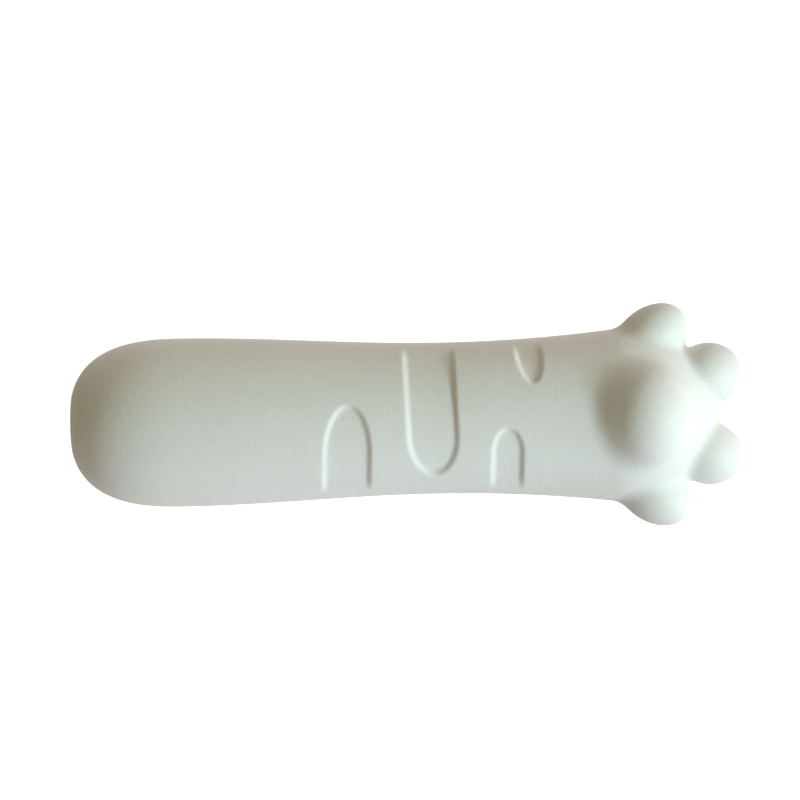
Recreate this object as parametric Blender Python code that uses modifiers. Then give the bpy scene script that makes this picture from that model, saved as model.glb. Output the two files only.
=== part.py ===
"""Training bumper shaped as a cat's forepaw, lying on its back with the palm up.

Two soft moulded half skins meet on a parting plane that holds the leg's axis. Foam floats fill them,
a stiff core tube with a weight runs down the leg, a screw plug closes the tube at the heel, and a
bellows squeaker stands under the palm pad. Metres, +X from the heel to the toes, +Z out of the palm,
origin under the middle of the bumper on the surface that it lies on.
"""

import math

import bmesh
import bpy
import numpy as np
from mathutils import Matrix, Vector

# Lengths along the leg
LEG_LENGTH = 0.2015  # heel face to wrist
PAW_LENGTH = 0.0485  # wrist to the tips of the inner toes
WAIST_TO_WRIST = 0.0645
HEEL_TO_GRIP = 0.040  # where the grip has its full radius

# Radii of the leg
GRIP_RADIUS = 0.0314
WAIST_RADIUS = 0.0282
WRIST_RADIUS = 0.0320

# The heel is a superellipse with its end cut off flat
HEEL_DEPTH = 0.0430
HEEL_CUT = 0.00075
HEEL_POWER = 2.7

# Body of the paw, in front of the wrist
PAW_REACH = 0.0392
PAW_FLATTENING = 0.06  # how much thinner than wide the paw is, as a share
TOE_BLEND = 0.0032

# Palm pad
PAD_FROM_WRIST = 0.0130
PAD_RADII = (0.0158, 0.0178, 0.0150)
PAD_TOP = 0.0412  # above the leg's axis
PAD_BLEND = 0.0070

# Toes: the two inner ones reach the tip, the two outer ones stand out at the sides
INNER_TOE_RADII = (0.0130, 0.0117, 0.0135)
INNER_TOE_ASIDE = 0.0147
INNER_TOE_SPLAY = math.radians(12)
OUTER_TOE_RADII = (0.0156, 0.0113, 0.0125)
OUTER_TOE_FROM_WRIST = 0.0146
OUTER_TOE_ASIDE = 0.0284
OUTER_TOE_SPLAY = math.radians(38)
TOE_LIFT = 0.0020  # of the toes' centres above the axis
KNUCKLE_RADII = (0.0230, 0.0125, 0.0190)
KNUCKLE_FROM_WRIST = 0.0190
KNUCKLE_ASIDE = 0.0130

# Sunken stripes, each open towards one side of the leg. "back" is how far its tip lies behind the
# wrist, "tip_y" how far aside of the axis, and "taper" the length of its half-elliptic tip. It
# "runs" to -Y or +Y, and "leans" towards the heel that much for each unit it runs.
STRIPES = (
    {"back": 0.0980, "tip_y": 0.0049, "half": 0.0082, "taper": 0.0180, "runs": -1, "leans": 0.04},
    {"back": 0.0665, "tip_y": -0.0207, "half": 0.0088, "taper": 0.0140, "runs": 1, "leans": 0.04},
    {"back": 0.0395, "tip_y": -0.0045, "half": 0.0053, "taper": 0.0092, "runs": -1, "leans": 0.02},
    {"back": 0.0297, "tip_y": 0.0129, "half": 0.0044, "taper": 0.0120, "runs": 1, "leans": 0.15},
)
STRIPE_DEPTH = 0.0012
STRIPE_START = 0.0005  # above the surface, where its floor is before it goes down
STRIPE_FADE = (0.15, 0.45)  # the surface's upward share where a stripe starts, and where it is full

# Walls and clearances
SKIN_WALL = 0.0030
GAP = 0.0003

# Core tube, its flange and its end cap
TUBE_RADIUS = 0.0100
TUBE_WALL = 0.0020
TUBE_END_FROM_WRIST = 0.0130  # behind the wrist
FLANGE_RIM = 0.0022  # how far the flange stands out round the tube
FLANGE_THICKNESS = 0.0030
FLANGE_SETBACK = 0.0020  # behind the inside of the heel wall
END_CAP_THICKNESS = 0.0030
END_CAP_SPIGOT = 0.0080

# Screw plug in the heel, and its O-ring
PLUG_HEAD_RIM = 0.0002  # of the head beyond the seal's seat
PLUG_SHANK_LENGTH = 0.0140
PLUG_THREAD_GAP = 0.0004
PLUG_CHAMFER = 0.0006
COIN_SLOT_END = 0.00375  # from the slot's end to the head's edge
COIN_SLOT_WIDTH = 0.0022
COIN_SLOT_DEPTH = 0.0016
SEAL_SECTION = 0.0015
SEAL_SEAT_DEPTH = 0.0018

# Weight in the tube, and the foam rod that keeps it at the paw end
SLUG_LENGTH = 0.0600
SLUG_CHAMFER = 0.0008

# Squeaker under the palm pad
CUP_RADIUS = 0.0112
CUP_WALL = 0.0013
CUP_FLOOR = 0.0015
CUP_HEIGHT = 0.0090
CUP_ABOVE_AXIS = 0.0108
HOLDER_RADIUS = 0.0035
HOLDER_BORE = 0.0016
HOLDER_HEIGHT = 0.0060
HOLDER_FLANGE = 0.0012
HOLDER_RIM = 0.0012  # how far its flange stands out
REED_SIZE = (0.0054, 0.0024, 0.0004)
BELLOWS_RADII = (0.0066, 0.0084)  # at the roots and at the crests
BELLOWS_WALL = 0.0008
BELLOWS_FOLDS = 4
BUTTON_RADIUS = 0.0080
BUTTON_EDGE = 0.0020
BUTTON_DOME = 0.0036
BUTTON_UNDER_PAD = 0.0012

# Fineness of the meshes
ROUND = 36  # sides round the leg, a multiple of four
RINGS = 40  # from the tips of the toes to the heel
RING_SHARES = (0.50, 0.80)  # rings used by the paw, and by the paw and the leg together
TURNED_SIDES = 28
HOLDER_SIDES = 20

# Where the rays that find the surface start
PAW_RAYS_FROM_WRIST = 0.0085  # a place from which all of the paw's surface can be seen
HEEL_RAYS_SHARE = 0.8  # of the grip's radius, in front of the heel's face

# Places that follow from the sizes
LENGTH = LEG_LENGTH + PAW_LENGTH
HEEL_X = -LENGTH / 2
WRIST_X = HEEL_X + LEG_LENGTH
WAIST_X = WRIST_X - WAIST_TO_WRIST
TIP_X = LENGTH / 2
AXIS_Z = GRIP_RADIUS
PAD_X = WRIST_X + PAD_FROM_WRIST
CAP_X = HEEL_X - HEEL_CUT + HEEL_DEPTH  # where the heel's rounding starts
HEEL_RAYS_X = HEEL_X + HEEL_RAYS_SHARE * GRIP_RADIUS
PAW_RAYS_X = WRIST_X + PAW_RAYS_FROM_WRIST
FLANGE_X = HEEL_X + SKIN_WALL + FLANGE_SETBACK
TUBE_END_X = WRIST_X - TUBE_END_FROM_WRIST
TUBE_BORE = TUBE_RADIUS - TUBE_WALL
FLANGE_RADIUS = TUBE_RADIUS + FLANGE_RIM
SEAT_RADIUS = TUBE_BORE + SEAL_SECTION + GAP
PLUG_HEAD_RADIUS = SEAT_RADIUS + PLUG_HEAD_RIM
PLUG_HEAD = FLANGE_X - GAP - HEEL_X  # thickness of the head
PLUG_SHANK_RADIUS = TUBE_BORE - PLUG_THREAD_GAP
SLUG_RADIUS = TUBE_BORE - GAP
CUP_Z = AXIS_Z + CUP_ABOVE_AXIS
BUTTON_Z = AXIS_Z + PAD_TOP - SKIN_WALL - BUTTON_UNDER_PAD - BUTTON_DOME - BUTTON_EDGE


def smooth_union(a, b, blend):
    """Joins two distance fields with a fillet of about that size."""
    share = np.clip(0.5 + 0.5 * (b - a) / blend, 0, 1)
    return b + (a - b) * share - blend * share * (1 - share)


def smooth_step(low, high, value):
    share = np.clip((value - low) / (high - low), 0, 1)
    return share * share * (3 - 2 * share)


def ellipsoid(points, centre, radii, turn=0.0):
    """About the distance from an ellipsoid that is turned round Z by that angle."""
    x, y, z = (points - np.array(centre)).T
    local = np.stack(
        [
            x * math.cos(turn) + y * math.sin(turn),
            y * math.cos(turn) - x * math.sin(turn),
            z,
        ],
        axis=1,
    )
    scaled = local / np.array(radii)
    size = np.linalg.norm(scaled, axis=1)
    return size * (size - 1) / np.maximum(np.linalg.norm(scaled / radii, axis=1), 1e-9)


def leg_radius(x):
    """Radius of the leg from its grip, through its waist, to the wrist."""
    grip_x = HEEL_X + HEEL_TO_GRIP
    to_grip = np.clip((WAIST_X - x) / (WAIST_X - grip_x), 0, 1)
    to_wrist = np.clip((x - WAIST_X) / (WRIST_X - WAIST_X), 0, 1)
    return (
        WAIST_RADIUS
        + (GRIP_RADIUS - WAIST_RADIUS) * (1 - np.cos(math.pi * to_grip)) / 2
        + (WRIST_RADIUS - WAIST_RADIUS) * to_wrist**2
    )


def leg_and_paw_body(points):
    """The waisted leg with its flattened heel, and the paw's rounded body in front of the wrist."""
    x, y, z = points.T
    flattening = 1 - PAW_FLATTENING * smooth_step(WAIST_X, WRIST_X, x)
    across = np.hypot(y, z / flattening)
    radius = leg_radius(x)
    into_heel = np.clip((CAP_X - x) / HEEL_DEPTH, 0, None)
    outwards = across / radius
    power = HEEL_POWER
    size = np.maximum((outwards**power + into_heel**power) ** (1 / power), 1e-9)
    slope = np.hypot(
        (outwards / size) ** (power - 1) / radius, (into_heel / size) ** (power - 1) / HEEL_DEPTH
    )
    leg = np.maximum((size - 1) / np.maximum(slope, 1), HEEL_X - x)
    slope_share = 2 * (WRIST_RADIUS - WAIST_RADIUS) / WAIST_TO_WRIST * PAW_REACH / WRIST_RADIUS
    start = slope_share / (1 + slope_share)  # where on the ellipse the leg meets it without a kink
    length = PAW_REACH / (1 + start)
    width = WRIST_RADIUS / math.sqrt(1 - start**2)
    paw = ellipsoid(
        np.stack([x, y, z / flattening], axis=1),
        (WRIST_X + start * length, 0, 0),
        (length, width, width),
    )
    return np.where(x < WRIST_X, leg, paw)


def toe_lobes():
    """(centre, radii, turn) of each toe and of the knuckles behind the inner toes."""
    inner_x = TIP_X - INNER_TOE_RADII[0]
    outer_x = WRIST_X + OUTER_TOE_FROM_WRIST
    knuckle_x = WRIST_X + KNUCKLE_FROM_WRIST
    knuckle_z = KNUCKLE_RADII[2] - GRIP_RADIUS
    for side in (-1, 1):
        yield (inner_x, side * INNER_TOE_ASIDE, TOE_LIFT), INNER_TOE_RADII, side * INNER_TOE_SPLAY
        yield (outer_x, side * OUTER_TOE_ASIDE, TOE_LIFT), OUTER_TOE_RADII, side * OUTER_TOE_SPLAY
        yield (knuckle_x, side * KNUCKLE_ASIDE, knuckle_z), KNUCKLE_RADII, 0.0


def form(points, with_pad=True):
    """About the distance of points from the bumper's surface, with the axis at Z 0 and no stripes."""
    field = leg_and_paw_body(points)
    for centre, radii, turn in toe_lobes():
        field = smooth_union(field, ellipsoid(points, centre, radii, turn), TOE_BLEND)
    if with_pad:
        pad = ellipsoid(points, (PAD_X, 0, PAD_TOP - PAD_RADII[2]), PAD_RADII)
        field = smooth_union(field, pad, PAD_BLEND)
    return field


def rays(ball):
    """Start and direction of the ray through each point of a unit ball whose poles lie on X.

    The toe end's rays fan out from inside the paw and the heel's from inside the heel. Between them
    they stand square to the leg."""
    across = np.hypot(ball[:, 1], ball[:, 2])
    share = np.arctan2(across, ball[:, 0]) / math.pi
    radial = ball * [0, 1, 1] / np.maximum(across, 1e-9)[:, None]
    paw_share, leg_share = RING_SHARES
    forward = np.clip(1 - share / paw_share, 0, 1)
    backward = np.clip((share - leg_share) / (1 - leg_share), 0, 1)
    along_leg = np.clip((share - paw_share) / (leg_share - paw_share), 0, 1)
    tilt = (forward - backward) * math.pi / 2
    direction = radial * np.cos(tilt)[:, None]
    direction[:, 0] = np.sin(tilt)
    start = np.zeros_like(ball)
    start[:, 0] = PAW_RAYS_X + (HEEL_RAYS_X - PAW_RAYS_X) * along_leg
    return start, direction


def cast(ball, level, with_pad=True):
    """Where each ray meets the surface at that signed distance from the form."""
    start, direction = rays(ball)
    reach = LENGTH / 3
    level = np.broadcast_to(level, len(ball))
    near = np.zeros(len(ball))
    steps = np.linspace(0, reach, 60)
    for step in steps:
        inside = form(start + direction * step, with_pad) < level
        near = np.where(inside, step, near)
    far = near + steps[1]
    for _ in range(30):
        middle = (near + far) / 2
        inside = form(start + direction * middle[:, None], with_pad) < level
        near = np.where(inside, middle, near)
        far = np.where(inside, far, middle)
    return start + direction * near[:, None]


def collection(name, hidden=False):
    made = bpy.data.collections.new(name)
    bpy.context.scene.collection.children.link(made)
    made.hide_render = hidden
    return made


def material(name, colour, roughness, metallic=0.0):
    made = bpy.data.materials.new(name)
    made.use_nodes = True
    shader = made.node_tree.nodes["Principled BSDF"]
    shader.inputs["Base Color"].default_value = (*colour, 1)
    shader.inputs["Roughness"].default_value = roughness
    shader.inputs["Metallic"].default_value = metallic
    return made


def add(name, mesh, finish=None, place=(0, 0, 0), turn=(0, 0, 0)):
    """A new object in the bumper's collection, or among the cutters when it has no finish."""
    made = bpy.data.objects.new(name, mesh)
    made.location = place
    made.rotation_euler = turn
    group = "training_bumper" if finish else "cutters"
    bpy.data.collections[group].objects.link(made)
    if finish:
        mesh.materials.append(bpy.data.materials[finish])
    else:
        made.hide_render = True
        made.display_type = "WIRE"
    return made


def mesh_of(bm, name, smooth=True):
    bmesh.ops.recalc_face_normals(bm, faces=bm.faces)
    made = bpy.data.meshes.new(name)
    bm.to_mesh(made)
    bm.free()
    if smooth:
        made.shade_smooth()
        made.set_sharp_from_angle(angle=math.radians(35))
    return made


def unit_ball(half=0):
    """A ball with its poles on X: whole, or the open half above (1) or below (-1) the parting plane.

    It is split into triangles first, so that surfaces one inside another keep their distance."""
    bm = bmesh.new()
    bmesh.ops.create_uvsphere(
        bm, u_segments=ROUND, v_segments=RINGS, radius=1, matrix=Matrix.Rotation(math.pi / 2, 4, "Y")
    )
    if half:
        bmesh.ops.bisect_plane(
            bm,
            geom=bm.verts[:] + bm.edges[:] + bm.faces[:],
            dist=1e-5,
            plane_co=(0, 0, 0),
            plane_no=(0, 0, half),
            clear_inner=True,
        )
    bmesh.ops.triangulate(bm, faces=bm.faces[:], quad_method="FIXED")
    return bm


def push_out(vertices, level, half=0, with_pad=True):
    """Moves a ball's vertices to the form, and those of the parting plane half a gap off it."""
    ball = np.array([v.co for v in vertices])
    ball /= np.linalg.norm(ball, axis=1)[:, None]
    placed = cast(ball, level, with_pad)
    on_plane = np.abs(ball[:, 2]) < 1e-4
    placed[on_plane & (half != 0), 2] = half * GAP / 2
    placed[:, 2] += AXIS_Z
    for vertex, place in zip(vertices, placed):
        vertex.co = place


def cutter_cylinder(name, radius, start, end, axis="X"):
    """A round cutter between two places on the leg's axis, or between two heights under the pad."""
    bm = bmesh.new()
    bmesh.ops.create_cone(
        bm, cap_ends=True, segments=TURNED_SIDES, radius1=radius, radius2=radius, depth=end - start
    )
    middle = (start + end) / 2
    if axis == "Z":
        return add(name, mesh_of(bm, name), place=(PAD_X, 0, middle))
    return add(name, mesh_of(bm, name), place=(middle, 0, AXIS_Z), turn=(0, math.pi / 2, 0))


def cut(target, *cutters):
    for cutter in cutters:
        boolean = target.modifiers.new("cut " + cutter.name, "BOOLEAN")
        boolean.operation = "DIFFERENCE"
        boolean.object = cutter


def stripe_prism(bm, stripe):
    """The outline of one stripe, a half-elliptic tip and two long sides, drawn out through the leg."""
    along = Vector((-stripe["leans"], stripe["runs"], 0)).normalized()
    aside = Vector((-along.y, along.x, 0))
    middle = Vector((WRIST_X - stripe["back"], stripe["tip_y"], 0)) + along * stripe["taper"]
    turns = [math.pi * n / 16 for n in range(17)]
    outline = [
        middle + aside * math.cos(a) * stripe["half"] - along * math.sin(a) * stripe["taper"]
        for a in turns
    ]
    far = along * 2 * GRIP_RADIUS
    outline += [outline[-1] + far, outline[0] + far]
    height = Vector((0, 0, 3 * GRIP_RADIUS))
    face = bm.faces.new([bm.verts.new(p - height / 2) for p in outline])
    top = bmesh.ops.extrude_face_region(bm, geom=[face])["geom"]
    bmesh.ops.translate(bm, verts=[v for v in top if isinstance(v, bmesh.types.BMVert)], vec=height)


def stripe_cutters():
    """What is taken out of the skins for the stripes: prisms less a floor just under the surface.

    The floor comes out through the surface towards the parting line, so the stripes fade out there."""
    bm = unit_ball()
    ball = np.array([v.co for v in bm.verts])
    _, direction = rays(ball)
    full = smooth_step(*STRIPE_FADE, np.abs(direction[:, 2]))
    push_out(bm.verts[:], STRIPE_START - (STRIPE_START + STRIPE_DEPTH) * full)
    floor = add("stripe_floor", mesh_of(bm, "stripe_floor"))
    cutters = []
    for n, stripe in enumerate(STRIPES):
        bm = bmesh.new()
        stripe_prism(bm, stripe)
        prism = add(f"stripe_{n}", mesh_of(bm, f"stripe_{n}"), place=(0, 0, AXIS_Z))
        cut(prism, floor)
        cutters.append(prism)
    return cutters


def skin_half(name, half, cutters):
    """A moulded half skin: two half balls, pushed out to the wall's two sides and joined at the rim."""
    bm = unit_ball(half)
    outer = bm.verts[:]
    copied = bmesh.ops.duplicate(bm, geom=bm.verts[:] + bm.edges[:] + bm.faces[:])["geom"]
    inner = [v for v in copied if isinstance(v, bmesh.types.BMVert)]
    bmesh.ops.reverse_faces(bm, faces=[f for f in copied if isinstance(f, bmesh.types.BMFace)])
    push_out(outer, 0.0, half)
    push_out(inner, -SKIN_WALL, half)
    bmesh.ops.bridge_loops(bm, edges=[e for e in bm.edges if e.is_boundary])
    made = add(name, mesh_of(bm, name), "soft_white_vinyl")
    cut(made, *cutters)
    return made


def float_half(name, half, cutters):
    """A foam float that fills one half skin, flat on the parting plane."""
    bm = unit_ball(half)
    bmesh.ops.holes_fill(bm, edges=[e for e in bm.edges if e.is_boundary])
    push_out(bm.verts[:], -SKIN_WALL - GAP, half, with_pad=False)
    made = add(name, mesh_of(bm, name), "float_foam")
    cut(made, *cutters)
    return made


def turned(name, profile, finish, place, along_x=False, sides=TURNED_SIDES):
    """A turned piece. The profile lists (radius, height) from the top down its outer side; one that
    doesn't start on the axis is closed, as a tube's is. Height runs along +X when along_x is set."""
    bm = bmesh.new()
    points = [bm.verts.new((radius, 0, height)) for radius, height in profile]
    for first, second in zip(points, points[1:]):
        bm.edges.new((first, second))
    if profile[0][0] > 0:
        bm.edges.new((points[-1], points[0]))
    mesh = bpy.data.meshes.new(name)
    bm.to_mesh(mesh)
    bm.free()
    made = add(name, mesh, finish, place, (0, math.pi / 2 if along_x else 0, 0))
    screw = made.modifiers.new("turn", "SCREW")
    screw.axis = "Z"
    screw.steps = screw.render_steps = sides
    screw.use_merge_vertices = True
    screw.merge_threshold = 0.00001
    return made


def make_core_tube():
    """Stiff tube down the leg, with a flange inside the heel and a seat for the seal in its mouth."""
    seat = FLANGE_X + SEAL_SEAT_DEPTH
    profile = [
        (TUBE_RADIUS, TUBE_END_X),
        (TUBE_RADIUS, FLANGE_X + FLANGE_THICKNESS),
        (FLANGE_RADIUS, FLANGE_X + FLANGE_THICKNESS),
        (FLANGE_RADIUS, FLANGE_X),
        (SEAT_RADIUS, FLANGE_X),
        (SEAT_RADIUS, seat),
        (TUBE_BORE, seat),
        (TUBE_BORE, TUBE_END_X),
    ]
    return turned("core_tube", profile, "natural_polyethylene", (0, 0, AXIS_Z), along_x=True)


def make_tube_end_cap():
    """Closes the tube inside the paw: a disc against its end, and a spigot in its bore."""
    face = TUBE_END_X + GAP
    back = TUBE_END_X - END_CAP_SPIGOT
    profile = [
        (0, face + END_CAP_THICKNESS),
        (TUBE_RADIUS, face + END_CAP_THICKNESS),
        (TUBE_RADIUS, face),
        (SLUG_RADIUS, face),
        (SLUG_RADIUS, back),
        (0, back),
    ]
    return turned("tube_end_cap", profile, "natural_polyethylene", (0, 0, AXIS_Z), along_x=True)


def rod_profile(front, back, radius, chamfer):
    return [
        (0, front),
        (radius - chamfer, front),
        (radius, front - chamfer),
        (radius, back + chamfer),
        (radius - chamfer, back),
        (0, back),
    ]


def make_weight():
    """Steel slug at the paw end of the tube, and the foam rod between it and the plug."""
    front = TUBE_END_X - END_CAP_SPIGOT - GAP
    back = front - SLUG_LENGTH
    plug_end = HEEL_X + PLUG_HEAD + PLUG_SHANK_LENGTH
    slug = rod_profile(front, back, SLUG_RADIUS, SLUG_CHAMFER)
    spacer = rod_profile(back - GAP, plug_end + GAP, SLUG_RADIUS, SLUG_CHAMFER)
    turned("ballast_slug", slug, "zinc_plated_steel", (0, 0, AXIS_Z), along_x=True)
    turned("spacer_rod", spacer, "float_foam", (0, 0, AXIS_Z), along_x=True)


def make_heel_plug():
    """Screw plug flush with the heel's end face: a round head with a coin slot, and a shank."""
    heel = (HEEL_X, 0, AXIS_Z)
    length = PLUG_HEAD + PLUG_SHANK_LENGTH
    profile = [
        (0, length),
        (PLUG_SHANK_RADIUS - PLUG_CHAMFER, length),
        (PLUG_SHANK_RADIUS, length - PLUG_CHAMFER),
        (PLUG_SHANK_RADIUS, PLUG_HEAD),
        (PLUG_HEAD_RADIUS, PLUG_HEAD),
        (PLUG_HEAD_RADIUS, PLUG_CHAMFER),
        (PLUG_HEAD_RADIUS - PLUG_CHAMFER, 0),
        (0, 0),
    ]
    plug = turned("heel_plug", profile, "white_hard_plastic", heel, along_x=True)
    slot = (2 * COIN_SLOT_DEPTH, 2 * (PLUG_HEAD_RADIUS - COIN_SLOT_END), COIN_SLOT_WIDTH, 1)
    bm = bmesh.new()
    bmesh.ops.create_cube(bm, size=1, matrix=Matrix.Diagonal(slot))
    cut(plug, add("coin_slot", mesh_of(bm, "coin_slot", smooth=False), place=heel))
    ring = SEAL_SECTION / 2
    middle = TUBE_BORE + ring + GAP / 2
    turns = [math.tau * n / 8 for n in range(8)]
    section = [(middle + ring * math.cos(a), -ring * math.sin(a)) for a in turns]
    turned("heel_seal", section, "black_rubber", (FLANGE_X + SEAL_SEAT_DEPTH / 2, 0, AXIS_Z), along_x=True)


def make_squeaker():
    """Cup in the palm float, reed and its holder in the cup, bellows, and the button under the pad."""
    place = (PAD_X, 0, CUP_Z)
    hole = HOLDER_RADIUS + GAP
    cup = [
        (CUP_RADIUS, CUP_HEIGHT),
        (CUP_RADIUS, 0),
        (hole, 0),
        (hole, CUP_FLOOR),
        (CUP_RADIUS - CUP_WALL, CUP_FLOOR),
        (CUP_RADIUS - CUP_WALL, CUP_HEIGHT),
    ]
    turned("squeaker_cup", cup, "natural_polyethylene", place)
    flange_z = CUP_FLOOR + GAP
    holder = [
        (HOLDER_RADIUS, HOLDER_HEIGHT),
        (HOLDER_RADIUS, flange_z + HOLDER_FLANGE),
        (HOLDER_RADIUS + HOLDER_RIM, flange_z + HOLDER_FLANGE),
        (HOLDER_RADIUS + HOLDER_RIM, flange_z),
        (HOLDER_RADIUS, flange_z),
        (HOLDER_RADIUS, 0),
        (HOLDER_BORE, 0),
        (HOLDER_BORE, HOLDER_HEIGHT),
    ]
    turned("reed_holder", holder, "white_hard_plastic", place, sides=HOLDER_SIDES)
    bm = bmesh.new()
    bmesh.ops.create_cube(bm, size=1, matrix=Matrix.Diagonal((*REED_SIZE, 1)))
    reed_z = CUP_Z + HOLDER_HEIGHT + GAP + REED_SIZE[2] / 2
    add("squeaker_reed", mesh_of(bm, "squeaker_reed", smooth=False), "brass", (PAD_X, 0, reed_z))
    make_bellows()
    top = BUTTON_EDGE + BUTTON_DOME
    dome = [
        (BUTTON_RADIUS * math.sin(a), BUTTON_EDGE + BUTTON_DOME * math.cos(a))
        for a in (math.pi / 2 * n / 6 for n in range(1, 7))
    ]
    button = [(0, top), *dome, (BUTTON_RADIUS, 0), (0, 0)]
    turned("squeaker_button", button, "natural_polyethylene", (PAD_X, 0, BUTTON_Z))


def make_bellows():
    """Folded tube from the cup's floor to the button."""
    bottom = CUP_Z + CUP_FLOOR + GAP
    height = BUTTON_Z - GAP - bottom
    root, crest = BELLOWS_RADII
    steps = 2 * BELLOWS_FOLDS
    outer = [
        (crest if n % 2 else root, height * (1 - n / steps)) for n in range(steps + 1)
    ]
    inner = [(radius - BELLOWS_WALL, z) for radius, z in reversed(outer)]
    turned("squeaker_bellows", outer + inner, "natural_polyethylene", (PAD_X, 0, bottom))


def main():
    for old in list(bpy.data.objects):
        bpy.data.objects.remove(old)
    collection("training_bumper")
    collection("cutters", hidden=True)
    material("soft_white_vinyl", (0.80, 0.81, 0.78), 0.45)
    material("white_hard_plastic", (0.82, 0.82, 0.79), 0.35)
    material("float_foam", (0.75, 0.76, 0.72), 0.9)
    material("natural_polyethylene", (0.78, 0.80, 0.80), 0.4)
    material("zinc_plated_steel", (0.62, 0.63, 0.65), 0.35, 1.0)
    material("brass", (0.75, 0.58, 0.28), 0.3, 1.0)
    material("black_rubber", (0.03, 0.03, 0.03), 0.6)

    hole = cutter_cylinder("heel_hole", PLUG_HEAD_RADIUS + GAP, HEEL_X - SKIN_WALL, FLANGE_X)
    stripes = stripe_cutters()
    skin_half("palm_skin", 1, [hole, *stripes])
    skin_half("back_skin", -1, [hole, *stripes])

    cap_face = TUBE_END_X + GAP + END_CAP_THICKNESS
    flange_face = FLANGE_X + FLANGE_THICKNESS
    tube_bed = cutter_cylinder("tube_bed", TUBE_RADIUS + GAP, HEEL_X, cap_face + GAP)
    flange_bed = cutter_cylinder("flange_bed", FLANGE_RADIUS + GAP, HEEL_X, flange_face + GAP)
    pocket = cutter_cylinder("cup_pocket", CUP_RADIUS + GAP, CUP_Z - GAP, AXIS_Z + PAD_TOP, axis="Z")
    float_half("palm_float", 1, [tube_bed, flange_bed, pocket])
    float_half("back_float", -1, [tube_bed, flange_bed])

    make_core_tube()
    make_tube_end_cap()
    make_weight()
    make_heel_plug()
    make_squeaker()


main()
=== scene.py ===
"""Training bumper shaped as a cat's forepaw: its soft skins, floats, core, plug and squeaker."""

import math

import bmesh
import bpy
import numpy as np
from bpy.props import FloatProperty, FloatVectorProperty, IntProperty, PointerProperty
from mathutils import Matrix, Vector


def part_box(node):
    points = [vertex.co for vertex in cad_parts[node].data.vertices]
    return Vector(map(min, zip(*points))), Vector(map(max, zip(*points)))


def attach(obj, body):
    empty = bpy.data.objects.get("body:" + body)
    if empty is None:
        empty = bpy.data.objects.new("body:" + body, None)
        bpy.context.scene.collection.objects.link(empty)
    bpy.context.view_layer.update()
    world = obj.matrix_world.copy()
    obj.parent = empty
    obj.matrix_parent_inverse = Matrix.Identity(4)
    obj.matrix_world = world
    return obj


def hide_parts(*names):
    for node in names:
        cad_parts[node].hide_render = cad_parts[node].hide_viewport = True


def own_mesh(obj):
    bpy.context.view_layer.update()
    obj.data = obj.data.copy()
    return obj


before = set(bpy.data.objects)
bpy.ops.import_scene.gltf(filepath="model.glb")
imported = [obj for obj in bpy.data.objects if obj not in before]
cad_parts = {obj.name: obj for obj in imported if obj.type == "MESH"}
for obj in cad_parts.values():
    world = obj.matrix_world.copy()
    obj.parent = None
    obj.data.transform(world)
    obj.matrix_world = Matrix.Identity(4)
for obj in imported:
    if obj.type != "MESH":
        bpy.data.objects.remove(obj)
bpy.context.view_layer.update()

bl_info = {
    "name": "Paw training bumper",
    "version": (1, 0, 0),
    "blender": (4, 5, 0),
    "location": "View3D > Sidebar > Bumper",
    "description": "Builds a paw-shaped training bumper and the table it lies on",
    "category": "Object",
}


class Place:
    """Where the frame puts things: the ends of the bumper, the leg's axis and each turned piece."""

    def __init__(self):
        self.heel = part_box("heel_plug")[0][0]
        self.tip = -self.heel
        low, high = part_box("core_tube")
        self.axis = (low[2] + high[2]) / 2
        low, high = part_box("squeaker_button")
        self.pad = (low[0] + high[0]) / 2

    def on_leg(self, node):
        """(start, end, radius) of a piece turned round the leg's axis."""
        low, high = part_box(node)
        return low[0], high[0], (high[1] - low[1]) / 2

    def under_pad(self, node):
        """(bottom, top, radius) of a piece turned round the squeaker's axis."""
        low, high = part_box(node)
        return low[2], high[2], (high[1] - low[1]) / 2


PLACE = Place()

# Sunken stripes: each tip's place behind the wrist and aside of the axis, half the stripe's width,
# the length of its tapered tip, the side it runs out to, and its lean towards the heel.
STRIPES = (
    {"back": 0.0980, "tip_y": 0.0049, "half": 0.0082, "taper": 0.0180, "runs": -1, "leans": 0.04},
    {"back": 0.0665, "tip_y": -0.0207, "half": 0.0088, "taper": 0.0140, "runs": 1, "leans": 0.04},
    {"back": 0.0395, "tip_y": -0.0045, "half": 0.0053, "taper": 0.0092, "runs": -1, "leans": 0.02},
    {"back": 0.0297, "tip_y": 0.0129, "half": 0.0044, "taper": 0.0120, "runs": 1, "leans": 0.15},
)
STRIPE_FADE = (0.36, 0.66)  # the surface's upward share where a stripe starts, and where it is full
PAD_RADII = np.array((0.0158, 0.0178, 0.0150))
INNER_TOE_RADII = np.array((0.0130, 0.0117, 0.0135))
OUTER_TOE_RADII = np.array((0.0156, 0.0113, 0.0125))
KNUCKLE_RADII = np.array((0.0230, 0.0125, 0.0190))

# Mesh of the skins and floats
PAW_RAYS_FROM_WRIST = 0.0085  # where the paw's rays start
HEEL_RAYS_SHARE = 0.8  # where the heel's rays start, as a share of the grip's radius
RING_SHARES = (0.30, 0.93)  # rings used by the paw, and by the paw and the leg together
COARSE = 4  # outer sides and rings for each of the lining's
SEAM_HALF_WIDTH = 0.0009
SEAM_OPENING = 0.00003  # from the parting plane to each skin
SHARP_ANGLE = math.radians(38)

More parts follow.
